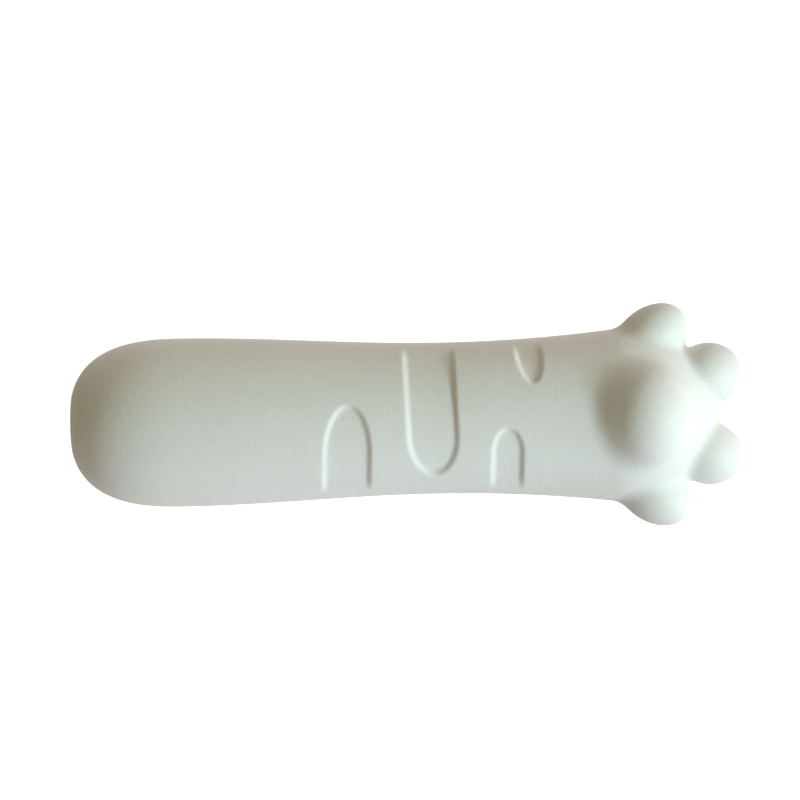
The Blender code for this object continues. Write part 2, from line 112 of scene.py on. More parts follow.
# Hard pieces
PLAY = 0.0003  # clearance between two of them
TUBE_RADIUS = 0.0100
TUBE_BORE = 0.0080
FLANGE_THICKNESS = 0.0030
SEAL_SEAT = (0.0098, 0.0018)  # radius and depth of the seat in the tube's mouth
SEAL_SIDES = 20
HOLE_CHAMFER = 0.0012
PLUG_CORE = 0.0069
THREAD_CREST = 0.0078
THREAD_LEAD = 0.0035  # how far the plug comes out for each turn
THREAD_FORM = ((-0.34, 0), (-0.30, 0), (-0.12, 1), (0.12, 1), (0.30, 0), (0.34, 0))  # (leads, crest)
THREAD_ROOT = 0.0003  # how deep the thread's foot is sunk in the plug
THREAD_SIDES = 48
COIN_SLOT = (0.0032, 0.0125, 0.0022)  # twice its depth, its length and its width
CUP_WALL = 0.0013
HOLDER_RIM = 0.0012
REED_BORE = 0.0016
BELLOWS_WALL = 0.0008
FOLD_DEPTH = 0.0018
FOLDS = 4
FOLD_STEPS = 64
BUTTON_SKIRT = 0.0020
BUTTON_CHAMFER = 0.0004
DOME_STEPS = 24

# Lights and camera
KEY_DISTANCE = 1.4
KEY_TURN, KEY_RISE = math.radians(-20), math.radians(35)
TOE_LIGHT = Vector((0.18, 0.03, 0.20))  # from the toes' tips
SIDE_LIGHT = Vector((0, -1.3, 0.45))  # from the middle of the bumper
CAMERA_ASIDE = (-0.0025, 0.0070)
CAMERA_TURN = math.radians(-1)


def number(name, default, description, unit="NONE"):
    return FloatProperty(name=name, default=default, description=description, unit=unit, precision=4)


def length(name, default, description):
    return number(name, default, description, "LENGTH")


def angle(name, default, description):
    return number(name, default, description, "ROTATION")


def watts(name, default, description):
    return number(name, default, description, "POWER")


def colour(name, default, description):
    return FloatVectorProperty(
        name=name, default=default, description=description, subtype="COLOR", size=3, min=0, max=1
    )


class BumperForm(bpy.types.PropertyGroup):
    """Sizes of the bumper's outer form."""

    paw_length: length("Paw length", 0.0485, "From the wrist to the tips of the inner toes")
    waist_to_wrist: length("Waist to wrist", 0.0645, "From the thinnest place of the leg to the wrist")
    heel_to_grip: length("Heel to grip", 0.0400, "Where the grip has its full radius")
    grip_radius: length("Grip radius", 0.0314, "Radius of the leg near the heel")
    waist_radius: length("Waist radius", 0.0282, "Radius of the leg at its thinnest")
    wrist_radius: length("Wrist radius", 0.0320, "Radius of the leg where the paw starts")
    heel_depth: length("Heel depth", 0.0430, "Length of the heel's rounding")
    heel_cut: length("Heel cut", 0.00075, "How much of the rounding the flat end takes off")
    heel_power: number("Heel power", 2.7, "Squareness of the heel: 2 is round")
    paw_reach: length("Paw reach", 0.0392, "How far the paw's body reaches in front of the wrist")
    paw_flattening: number("Paw flattening", 0.06, "How much thinner than wide the paw is")
    toe_blend: length("Toe blend", 0.0032, "Fillet between the toes and the paw")
    pad_from_wrist: length("Pad from wrist", 0.0130, "Place of the palm pad's middle")
    pad_top: length("Pad top", 0.0412, "Height of the palm pad above the leg's axis")
    pad_blend: length("Pad blend", 0.0070, "Fillet round the palm pad")
    inner_toe_aside: length("Inner toe aside", 0.0147, "Inner toes' distance from the middle")
    inner_toe_splay: angle("Inner toe splay", 0.209, "Turn of the inner toes to their sides")
    outer_toe_from_wrist: length("Outer toe from wrist", 0.0146, "Place of the outer toes' middles")
    outer_toe_aside: length("Outer toe aside", 0.0284, "Outer toes' distance from the middle")
    outer_toe_splay: angle("Outer toe splay", 0.663, "Turn of the outer toes to their sides")
    toe_lift: length("Toe lift", 0.0020, "Height of the toes' middles above the axis")
    knuckle_from_wrist: length("Knuckle from wrist", 0.0190, "Place of the knuckles' middles")
    knuckle_aside: length("Knuckle aside", 0.0130, "Knuckles' distance from the middle")
    skin_wall: length("Skin wall", 0.0030, "Thickness of the skins")
    gap: length("Gap", 0.0003, "Clearance between the skins and the floats")
    stripe_depth: length("Stripe depth", 0.0013, "Depth of the sunken stripes")
    stripe_edge: length("Stripe edge", 0.0021, "Width of the slope round a stripe")
    seam_depth: length("Seam depth", 0.00022, "Depth of the groove along the parting line")
    crown_height: length("Crown height", 0.0318, "Where the pad's soft crown starts, above the axis")
    around: IntProperty(name="Around", default=320, description="Sides of the skins, a multiple of 8")
    along: IntProperty(name="Along", default=424, description="Rings of the skins, a multiple of 4")


class BumperFinish(bpy.types.PropertyGroup):
    """Colours of the bumper's materials."""

    vinyl: colour("Vinyl", (0.79, 0.80, 0.77), "Soft white vinyl of the skins")
    # also the colour of the painted shade in the stripes' sloped edges and the parting groove
    vinyl_worn_and_groove_shade: colour("Handled vinyl", (0.71, 0.70, 0.65), "Where hands and teeth have dulled it")
    plug: colour("Plug", (0.80, 0.80, 0.76), "Hard white plastic of the plug")
    plug_scuffed: colour("Scuffed plug", (0.86, 0.86, 0.84), "Scuffs on the plug")
    foam: colour("Foam", (0.72, 0.73, 0.68), "Closed-cell foam of the floats")
    milky: colour("Milky plastic", (0.76, 0.79, 0.80), "Natural polyethylene of the tube and squeaker")
    zinc: colour("Zinc", (0.60, 0.61, 0.64), "Zinc plating of the steel slug")
    brass: colour("Brass", (0.76, 0.57, 0.26), "Brass of the reed")
    rubber: colour("Rubber", (0.025, 0.025, 0.027), "Black rubber of the seal")


class BumperStudio(bpy.types.PropertyGroup):
    """Light and camera."""

    picture_width: length("Picture width", 0.29848, "Width that the camera sees at the leg's axis")
    camera_distance: length("Camera distance", 1.6, "From the leg's axis to the camera")
    key_power: watts("Key power", 11.3, "Light beyond the toes")
    key_colour: colour("Key colour", (0.625, 0.90, 1.0), "Colour of the light beyond the toes")
    toe_power: watts("Toe power", 0.10, "Small light near the toes")
    toe_colour: colour("Toe colour", (0.95, 0.97, 1.0), "Colour of the small light near the toes")
    fill_power: watts("Fill power", 2.0, "Light from the side")
    fill_colour: colour("Fill colour", (0.56, 0.60, 1.0), "Colour of the light from the side")
    room_strength: number("Room strength", 0.218, "Light from all round")
    room_colour: colour("Room colour", (1.0, 0.87, 0.50), "Colour of the light from all round")
    table_strength: number("Table strength", 1.33, "Light off the table")
    table_colour: colour("Table colour", (0.91, 0.83, 1.0), "Colour of the light off the table")
    beyond_strength: number("Beyond strength", 0.354, "Wide light beyond the toes")
    beyond_colour: colour("Beyond colour", (1.0, 0.99, 0.68), "Colour of the wide light beyond the toes")


# Form


def smooth_union(a, b, blend):
    """Joins two distance fields with a fillet of about that size."""
    share = np.clip(0.5 + 0.5 * (b - a) / blend, 0, 1)
    return b + (a - b) * share - blend * share * (1 - share)


def smooth_step(low, high, value):
    share = np.clip((value - low) / (high - low), 0, 1)
    return share * share * (3 - 2 * share)


def ellipsoid(points, centre, radii, turn=0.0):
    """About the distance from an ellipsoid that is turned round Z by that angle."""
    x, y, z = (points - np.array(centre)).T
    along = x * math.cos(turn) + y * math.sin(turn)
    across = y * math.cos(turn) - x * math.sin(turn)
    scaled = np.array((along, across, z)).T / radii
    size = np.linalg.norm(scaled, axis=1)
    return size * (size - 1) / np.maximum(np.linalg.norm(scaled / radii, axis=1), 1e-9)


class Form:
    """The bumper's outer form as a distance field, with the leg's axis at Z 0."""

    def __init__(self, size):
        self.size = size
        self.wrist = PLACE.tip - size.paw_length
        self.waist = self.wrist - size.waist_to_wrist
        self.pad = self.wrist + size.pad_from_wrist
        self.paw_rays = self.wrist + PAW_RAYS_FROM_WRIST
        self.heel_rays = PLACE.heel + HEEL_RAYS_SHARE * size.grip_radius

    def leg_radius(self, x):
        size = self.size
        to_grip = np.clip((self.waist - x) / (self.waist - PLACE.heel - size.heel_to_grip), 0, 1)
        to_wrist = np.clip((x - self.waist) / size.waist_to_wrist, 0, 1)
        return (
            size.waist_radius
            + (size.grip_radius - size.waist_radius) * (1 - np.cos(math.pi * to_grip)) / 2
            + (size.wrist_radius - size.waist_radius) * to_wrist**2
        )

    def leg_and_paw_body(self, points):
        size = self.size
        x, y, z = points.T
        flattening = 1 - size.paw_flattening * smooth_step(self.waist, self.wrist, x)
        radius = self.leg_radius(x)
        outwards = np.hypot(y, z / flattening) / radius
        into_heel = np.clip((PLACE.heel - size.heel_cut - x) / size.heel_depth + 1, 0, None)
        power = size.heel_power
        ratio = np.maximum((outwards**power + into_heel**power) ** (1 / power), 1e-9)
        slope_out = (outwards / ratio) ** (power - 1) / radius
        slope_back = (into_heel / ratio) ** (power - 1) / size.heel_depth
        slope = np.hypot(slope_out, slope_back)
        leg = np.maximum((ratio - 1) / np.maximum(slope, 1), PLACE.heel - x)
        share = 2 * (size.wrist_radius - size.waist_radius) / size.waist_to_wrist
        share *= size.paw_reach / size.wrist_radius
        start = share / (1 + share)
        reach = size.paw_reach / (1 + start)
        width = size.wrist_radius / math.sqrt(1 - start**2)
        centre = (self.wrist + start * reach, 0, 0)
        paw = ellipsoid(np.array((x, y, z / flattening)).T, centre, np.array((reach, width, width)))
        return np.where(x < self.wrist, leg, paw)

    def lobes(self):
        """(centre, radii, turn) of each toe and of the knuckles behind the inner toes."""
        size = self.size
        inner = PLACE.tip - INNER_TOE_RADII[0]
        outer = self.wrist + size.outer_toe_from_wrist
        knuckle = self.wrist + size.knuckle_from_wrist
        knuckle_z = KNUCKLE_RADII[2] - size.grip_radius
        for side in (-1, 1):
            centre = (inner, side * size.inner_toe_aside, size.toe_lift)
            yield centre, INNER_TOE_RADII, side * size.inner_toe_splay
            centre = (outer, side * size.outer_toe_aside, size.toe_lift)
            yield centre, OUTER_TOE_RADII, side * size.outer_toe_splay
            yield (knuckle, side * size.knuckle_aside, knuckle_z), KNUCKLE_RADII, 0.0

    def distance(self, points, with_pad=True):
        field = self.leg_and_paw_body(points)
        for centre, radii, turn in self.lobes():
            field = smooth_union(field, ellipsoid(points, centre, radii, turn), self.size.toe_blend)
        if with_pad:
            centre = (self.pad, 0, self.size.pad_top - PAD_RADII[2])
            field = smooth_union(field, ellipsoid(points, centre, PAD_RADII), self.size.pad_blend)
        return field

    def facing(self, points):
        """Directions that the surface faces at points near it."""
        step = 0.0002
        moves = np.eye(3) * step
        rises = [self.distance(points + move) - self.distance(points - move) for move in moves]
        slope = np.array(rises).T
        return slope / np.maximum(np.linalg.norm(slope, axis=1), 1e-12)[:, None]

    def rays(self, ball):
        """Start and direction of the ray for each point of a unit ball whose poles lie on X.

        Rays fan out in the paw and in the heel, and stand square to the leg between them."""
        across = np.hypot(ball[:, 1], ball[:, 2])
        share = np.arctan2(across, ball[:, 0]) / math.pi
        radial = ball * [0, 1, 1] / np.maximum(across, 1e-9)[:, None]
        paw_share, leg_share = RING_SHARES
        forward = np.clip(1 - share / paw_share, 0, 1)
        backward = np.clip((share - leg_share) / (1 - leg_share), 0, 1)
        along_leg = np.clip((share - paw_share) / (leg_share - paw_share), 0, 1)
        tilt = (forward - backward) * math.pi / 2
        direction = radial * np.cos(tilt)[:, None]
        direction[:, 0] = np.sin(tilt)
        start = np.zeros_like(ball)
        start[:, 0] = self.paw_rays + (self.heel_rays - self.paw_rays) * along_leg
        return start, direction

    def cast(self, ball, level, with_pad=True):
        """Where each ray last meets the surface at that signed distance from the form."""
        start, direction = self.rays(ball)
        near = np.zeros(len(ball))
        outside = np.arange(len(ball))
        steps = np.linspace(0.4 * PLACE.tip, 0, 30)  # from well outside the form to its middle
        for step in steps:
            places = start[outside] + direction[outside] * step
            inside = self.distance(places, with_pad) < level
            near[outside[inside]] = step
            outside = outside[~inside]
        far = near + steps[0] - steps[1]
        for _ in range(14):
            middle = (near + far) / 2
            inside = self.distance(start + direction * middle[:, None], with_pad) < level
            near = np.where(inside, middle, near)
            far = np.where(inside, far, middle)
        return start + direction * near[:, None]

    def stripes(self, points):
        """How far down each point lies in a stripe, from 0 outside to 1 on its floor."""
        deepest = np.zeros(len(points))
        for stripe in STRIPES:
            along = Vector((-stripe["leans"], stripe["runs"], 0)).normalized()
            tip = np.array((self.wrist - stripe["back"], stripe["tip_y"]))
            offset = points[:, :2] - tip
            run = offset @ np.array(along.xy) - stripe["taper"]
            aside = offset @ np.array((-along.y, along.x)) / stripe["half"]
            taper = np.minimum(run, 0) / stripe["taper"]
            ratio = np.maximum(np.hypot(aside, taper), 1e-9)
            slope = np.hypot(aside / stripe["half"], taper / stripe["taper"]) / ratio
            outside = (ratio - 1) / np.maximum(slope, 1)
            edge = self.size.stripe_edge / 2
            deepest = np.maximum(deepest, 1 - smooth_step(-edge, edge, outside))
        return deepest


def unit_ball(around, along, half):
    """An open half ball with its poles on X, above (1) or below (-1) the parting plane."""
    bm = bmesh.new()
    bmesh.ops.create_grid(bm, x_segments=around // 2, y_segments=along, size=1)  # bent to the ball
    for vert in bm.verts:
        turn, share = (vert.co.x + 1) * math.pi / 2, (vert.co.y + 1) * math.pi / 2
        radius = math.sin(share)
        vert.co = (math.cos(share), radius * math.cos(turn), half * radius * math.sin(turn))
    poles = [v for v in bm.verts if abs(v.co.x) > 1 - 1e-6]
    bmesh.ops.remove_doubles(bm, verts=poles, dist=1e-4)
    return bm


def ball_points(verts):
    ball = np.array([v.co for v in verts])
    return ball / np.linalg.norm(ball, axis=1)[:, None]


def on_rim(ball):
    """Which of a half ball's points lie on the parting plane, within a small angle."""
    return np.abs(ball[:, 2]) < 0.004 * np.hypot(ball[:, 1], ball[:, 2]) + 1e-6


def put(verts, places):
    for vert, place in zip(verts, places):
        vert.co = place


def mesh_of(name, bm):
    mesh = bpy.data.meshes.new(name)
    bm.to_mesh(mesh)
    bm.free()
    return mesh


def linked(name, data):
    """An object that holds the data, in the scene."""
    thing = bpy.data.objects.new(name, data)
    bpy.context.scene.collection.objects.link(thing)
    return thing


def smooth(mesh):
    mesh.shade_smooth()
    mesh.set_sharp_from_angle(angle=SHARP_ANGLE)


def new_piece(name, bm, material, slot, body, *replaced):
    """Makes a piece of a bmesh, and says what it is made of, what it rides on and stands for."""
    mesh = mesh_of(name, bm)
    mesh.materials.append(material)
    smooth(mesh)
    piece = linked(name, mesh)
    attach(piece, body)
    if replaced:
        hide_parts(*replaced)
    return piece


# Turned pieces


def eased(profile, radius):
    """A profile with its corners rounded; the two ends stay where they are."""
    points = [Vector(p) for p in profile]
    out = [points[0]]
    for before, corner, after in zip(points, points[1:], points[2:]):
        into, away = before - corner, after - corner
        reach = min(radius, into.length * 0.45, away.length * 0.45)
        first = corner + into.normalized() * reach
        last = corner + away.normalized() * reach
        for t in (0, 0.25, 0.5, 0.75, 1):
            out.append(first * (1 - t) ** 2 + corner * 2 * t * (1 - t) + last * t**2)
    return out + [points[-1]]


def eased_ring(profile, radius):
    """A closed profile with all of its corners rounded."""
    start = (Vector(profile[0]) + Vector(profile[-1])) / 2
    return eased([start, *profile, start], radius)[:-1]


def rod_profile(start, end, radius):
    return [(0, start), (radius, start), (radius, end), (0, end)]


def turned(profile, centre, axis, sides=96):
    """A bmesh of a profile of (radius, height) spun round an axis through centre.

    A profile that ends on the axis gives a solid piece, and any other is closed to a ring."""
    bm = bmesh.new()
    aside, along = Vector((0, 1, 0)), Vector(axis)
    verts = [bm.verts.new(Vector(centre) + aside * radius + along * height) for radius, height in profile]
    pairs = list(zip(verts, verts[1:]))
    if min(radius for radius, _ in profile) > 1e-6:
        pairs.append((verts[-1], verts[0]))
    edges = [bm.edges.new(pair) for pair in pairs]
    bmesh.ops.spin(
        bm, geom=verts + edges, cent=centre, axis=axis, angle=math.tau, steps=sides, use_merge=True
    )
    bmesh.ops.remove_doubles(bm, verts=bm.verts[:], dist=1e-6)
    bmesh.ops.recalc_face_normals(bm, faces=bm.faces[:])
    return bm


def eased_box(centre, size, ease):
    bm = bmesh.new()
    matrix = Matrix.Translation(centre) @ Matrix.Diagonal((*size, 1))
    bmesh.ops.create_cube(bm, size=1, matrix=matrix)
    bmesh.ops.bevel(
        bm,
        geom=bm.edges[:],
        offset=ease,
        offset_type="OFFSET",
        segments=3,
        profile=0.5,
        affect="EDGES",
        material=-1,
    )
    return bm


def cut(piece, *tools):
    """Takes closed bmeshes out of a piece, for good."""
    for tool in tools:
        cutter = linked("tool", mesh_of("tool", tool))
        boolean = piece.modifiers.new("cut", "BOOLEAN")
        boolean.object = cutter
        boolean.solver = "MANIFOLD"
        bpy.context.view_layer.update()
        depsgraph = bpy.context.evaluated_depsgraph_get()
        result = bpy.data.meshes.new_from_object(piece.evaluated_get(depsgraph))
        while len(result.materials) > 1:  # the tool's own slot, which no face uses
            result.materials.pop()
        piece.modifiers.clear()
        spent = (piece.data, cutter.data)
        piece.data = result
        bpy.data.objects.remove(cutter)
        for mesh in spent:
            bpy.data.meshes.remove(mesh)
        result.name = piece.name
    smooth(piece.data)


# Materials


class Value:
    """A shader socket. Arithmetic on it adds Math nodes."""

    def __init__(self, shader, socket):
        self.shader = shader
        self.socket = socket

    def math(self, operation, first, second):
        return self.shader.value("ShaderNodeMath", {"operation": operation}, {0: first, 1: second})

    def __add__(self, other):
        return self.math("ADD", self, other)

    def __sub__(self, other):
        return self.math("SUBTRACT", self, other)

    def __rsub__(self, other):
        return self.math("SUBTRACT", other, self)

    def __mul__(self, other):
        return self.math("MULTIPLY", self, other)

    __radd__ = __add__
    __rmul__ = __mul__


class Nodes:
    """A node tree, to which nodes and their links are added in one call."""

    def __init__(self, tree):
        self.tree = tree

    def link(self, source, socket):
        if isinstance(source, Value):
            self.tree.links.new(source.socket, socket)
        else:
            socket.default_value = source

    def node(self, kind, settings, inputs):
        """Adds a node with its settings, then the values or links of its sockets."""
        node = self.tree.nodes.new(kind)
        for setting, value in settings.items():
            setattr(node, setting, value)
        for socket, source in inputs.items():
            self.link(source, node.inputs[socket])
        return node

    def value(self, kind, settings, inputs, output=0):
        return Value(self, self.node(kind, settings, inputs).outputs[output])


def scaled(shade, factors):
    return tuple(min(1.0, channel * factor) for channel, factor in zip(shade, factors))


class Shader(Nodes):
    """A material whose Principled shader is fed by the nodes added here."""

    def __init__(self, name, **constants):
        self.material = bpy.data.materials.new(name)
        self.material.use_nodes = True
        super().__init__(self.material.node_tree)
        self.principled = self.tree.nodes["Principled BSDF"]
        for socket, value in constants.items():
            self.principled.inputs[socket.replace("_", " ")].default_value = value
        self.place = self.value("ShaderNodeTexCoord", {}, {}, "Object")

    def noise(self, scale, detail=2.0, roughness=0.5, place=None):
        inputs = {"Vector": place or self.place, "Scale": scale, "Detail": detail, "Roughness": roughness}
        return self.value("ShaderNodeTexNoise", {}, inputs, "Fac")

    def cells(self, scale, feature="F1"):
        inputs = {"Vector": self.place, "Scale": scale}
        return self.value("ShaderNodeTexVoronoi", {"feature": feature}, inputs)

    def stretched(self, scale):
        return self.value("ShaderNodeMapping", {}, {"Vector": self.place, "Scale": scale})

    def attribute(self, name):
        return self.value("ShaderNodeAttribute", {"attribute_name": name}, {}, "Fac")

    def range(self, source, low, high, new_low=0.0, new_high=1.0):
        inputs = {"Value": source, "From Min": low, "From Max": high, "To Min": new_low, "To Max": new_high}
        return self.value("ShaderNodeMapRange", {"interpolation_type": "SMOOTHSTEP"}, inputs)

    def mix(self, factor, first, second):
        first, second = ((*c, 1.0) if isinstance(c, tuple) else c for c in (first, second))
        inputs = {0: factor, 6: first, 7: second}
        return self.value("ShaderNodeMix", {"data_type": "RGBA"}, inputs, 2)

    def bump(self, height, distance, strength, under=None):
        inputs = {"Height": height, "Distance": distance, "Strength": strength}
        if under:
            inputs["Normal"] = under
        return self.value("ShaderNodeBump", {}, inputs)

    def finish(self, **sockets):
        for socket, source in sockets.items():
            self.link(source, self.principled.inputs[socket.replace("_", " ")])
        return self.material


def soft_vinyl(name, finish):
    """Satin moulded vinyl: fine pores, a faint pebble, the dulling that hands leave, and painted shade in
    the stripes' sloped edges and along the parting groove.
    """
    shader = Shader(
        name,
        Subsurface_Weight=0.08,
        Subsurface_Radius=(1.0, 0.8, 0.6),
        Subsurface_Scale=0.0008,
        IOR=1.46,
        Specular_IOR_Level=0.36,
    )
    clouds = shader.noise(38, 4, 0.6)
    handled = shader.range(shader.noise(13, 3, 0.55) + clouds * 0.5, 0.62, 1.0)
    groove = shader.attribute("groove")
    # painted shade: the stripes' sloped edges and the parting groove are darkened towards the worn colour,
    # mottled by noise; the handled patches and the specks below are wear and dirt
    wear_and_groove_shade = groove * shader.range(shader.noise(260, 3), 0.35, 0.7) * 0.35 + handled * 0.30
    speck = shader.range(shader.cells(900), 0.05, 0.12, 1.0, 0.0) * shader.range(clouds, 0.5, 0.7)
    wear_and_groove_shade = wear_and_groove_shade + speck * 0.18
    tone = shader.mix(wear_and_groove_shade, tuple(finish.vinyl), tuple(finish.vinyl_worn_and_groove_shade))
    pebble = shader.noise(420, 3, 0.55)
    pores = shader.noise(2600, 2, 0.6)
    flow = shader.noise(30, 2, 0.5, shader.stretched((0.35, 3.0, 3.0)))
    rough = 0.43 + handled * 0.10 + (pebble - 0.5) * 0.16 + groove * 0.06
    relief = shader.bump(flow, 0.0006, 0.10)
    relief = shader.bump(pebble, 0.0002, 0.7, relief)
    relief = shader.bump(pores, 0.00006, 0.8, relief)
    return shader.finish(Base_Color=tone, Roughness=rough, Normal=relief)


def hard_plastic(name, shade, worn):
    """Hard moulded plastic with a spark-eroded grain and pale scuffs."""
    shader = Shader(name, IOR=1.5, Subsurface_Weight=0.05, Subsurface_Scale=0.0015)
    grain = shader.noise(3200, 2, 0.6)
    scuffs = shader.range(shader.noise(180, 5, 0.7, shader.stretched((1.0, 0.25, 1.6))), 0.56, 0.70)
    tone = shader.mix(scuffs * 0.35 + shader.noise(60) * 0.10, shade, worn)
    rough = 0.36 + scuffs * 0.18 + (grain - 0.5) * 0.12
    relief = shader.bump(scuffs, 0.00004, 0.5, shader.bump(grain, 0.00003, 0.6))
    return shader.finish(Base_Color=tone, Roughness=rough, Normal=relief)


def cut_foam(name, shade):
    """Closed-cell foam: beads pressed together, with painted shade in the seams between them, a painted
    highlight on their middles, and open cells where the knife went.
    """
    shader = Shader(name, Specular_IOR_Level=0.3)
    beads = shader.cells(330, "SMOOTH_F1")
    seams = shader.range(shader.cells(330, "DISTANCE_TO_EDGE"), 0.0, 0.09)
    cells = shader.cells(1900)
    # painted shade and painted highlight: a darker copy of the foam's colour in the seams between beads,
    # and a lighter copy (light) on each bead's middle
    painted_seam_shade = scaled(shade, (0.72, 0.72, 0.72))
    light = scaled(shade, (1.12, 1.12, 1.12))
    tone = shader.mix(seams, painted_seam_shade, shader.mix(beads, light, shade))
    rough = 0.86 + (cells - 0.4) * 0.12
    relief = shader.bump(seams, 0.0003, 0.8)
    relief = shader.bump(cells, 0.00012, 0.7, relief)
    return shader.finish(Base_Color=tone, Roughness=rough, Normal=relief)


def milky_plastic(name, shade):
    """Waxy natural polyethylene with extrusion lines along X and a cloudy depth."""
    shader = Shader(
        name, Subsurface_Weight=0.35, Subsurface_Scale=0.004, Subsurface_Radius=(0.9, 1.0, 1.0), IOR=1.51
    )
    cloud = shader.noise(90, 4, 0.6)
    lines = shader.noise(160, 3, 0.6, shader.stretched((0.05, 4.0, 4.0)))
    cool = scaled(shade, (0.86, 0.92, 0.97))
    tone = shader.mix(cloud, cool, shade)
    rough = 0.34 + (lines - 0.5) * 0.20 + cloud * 0.08
    relief = shader.bump(lines, 0.00006, 0.5, shader.bump(shader.noise(1500), 0.00002, 0.5))
    return shader.finish(Base_Color=tone, Roughness=rough, Normal=relief)


def plated_steel(name, shade):
    """Zinc-plated steel: turning marks round the slug and faint spangle."""
    shader = Shader(name, Metallic=1.0)
    marks = shader.noise(240, 3, 0.7, shader.stretched((12.0, 0.2, 0.2)))
    spangle = shader.cells(220)
    blue = scaled(shade, (0.86, 0.95, 1.08))
    tone = shader.mix(spangle * 0.7, shade, blue)
    rough = 0.28 + (marks - 0.5) * 0.22 + spangle * 0.10
    return shader.finish(Base_Color=tone, Roughness=rough, Normal=shader.bump(marks, 0.00004, 0.6))


def rolled_brass(name, shade):
    """Rolled brass strip with grain along X and a little tarnish."""
    shader = Shader(name, Metallic=1.0)
    grain = shader.noise(900, 3, 0.7, shader.stretched((0.04, 3.0, 3.0)))
    tarnish = shader.range(shader.noise(500, 4), 0.45, 0.75)
    dull = scaled(shade, (0.72, 0.66, 0.6))
    rough = 0.26 + (grain - 0.5) * 0.24 + tarnish * 0.16
    relief = shader.bump(grain, 0.00002, 0.6)
    return shader.finish(Base_Color=shader.mix(tarnish * 0.6, shade, dull), Roughness=rough, Normal=relief)


def black_rubber(name, shade):
    """Moulded rubber with a bloom of grey."""
    shader = Shader(name, Specular_IOR_Level=0.42)
    bloom = shader.range(shader.noise(700, 4), 0.4, 0.8)
    grey = scaled(shade, (2.6, 2.6, 2.6))
    rough = 0.55 + bloom * 0.16
    relief = shader.bump(shader.noise(4200), 0.00002, 0.7)
    return shader.finish(Base_Color=shader.mix(bloom, shade, grey), Roughness=rough, Normal=relief)


def table_top(name):
    """A white sweep that stays white round the bumper, with a trace of paper grain."""
    shader = Shader(name, Roughness=0.9, Specular_IOR_Level=0.1, Emission_Strength=0.86)
    grain = shader.noise(900, 3)
    tone = shader.mix(grain, (0.97, 0.97, 0.97), (1.0, 1.0, 1.0))
    return shader.finish(Base_Color=(0.8, 0.8, 0.8, 1.0), Emission_Color=tone)


# Skins


def rim_in_order(verts, ball):
    """Those vertices that lie on the parting plane, from the toes' tip all the way round."""
    turns = (np.arctan2(ball[:, 1], ball[:, 0]) + 1e-4) % math.tau  # rounding can't make the tip last
    rim = on_rim(ball)
    return [verts[n] for n in np.argsort(turns) if rim[n]]


def skin_half(form, size, half):
    """A half skin: a fine outer face with its stripes and parting groove, and a coarser lining."""
    bm = unit_ball(size.around, size.along, half)
    groove = bm.verts.layers.float.new("groove")
    outer = bm.verts[:]
    ball = ball_points(outer)
    outer_rim = rim_in_order(outer, ball)
    places = form.cast(ball, 0.0)
    facing = form.facing(places)
    depth = form.stripes(places) * smooth_step(*STRIPE_FADE, np.abs(facing[:, 2]))
    seam = 1 - smooth_step(0, SEAM_HALF_WIDTH, np.abs(places[:, 2]))
    places -= facing * (depth * size.stripe_depth + seam * size.seam_depth)[:, None]
    places[on_rim(ball), 2] = half * SEAM_OPENING
    put(outer, places + [0, 0, PLACE.axis])
    slopes = depth * (1 - depth) * 4  # 1 half way down a stripe's edge
    # the groove layer marks where the vinyl gets its painted shade, and more roughness
    for vert, slope, line in zip(outer, slopes, seam):
        vert[groove] = max(slope, line)

    mesh = mesh_of("lining", unit_ball(size.around // COARSE, size.along // COARSE, half))
    bm.from_mesh(mesh)
    bpy.data.meshes.remove(mesh)
    known = set(outer)
    inner = [v for v in bm.verts if v not in known]
    ball = ball_points(inner)
    inner_rim = rim_in_order(inner, ball)
    places = form.cast(ball, -size.skin_wall)
    places[on_rim(ball), 2] = half * SEAM_OPENING
    put(inner, places + [0, 0, PLACE.axis])
    for n, vert in enumerate(inner_rim):
        fine = [outer_rim[(n * COARSE + m) % len(outer_rim)] for m in range(COARSE + 1)]
        bm.faces.new((*fine, inner_rim[(n + 1) % len(inner_rim)], vert))
    bmesh.ops.recalc_face_normals(bm, faces=bm.faces[:])
    return bm


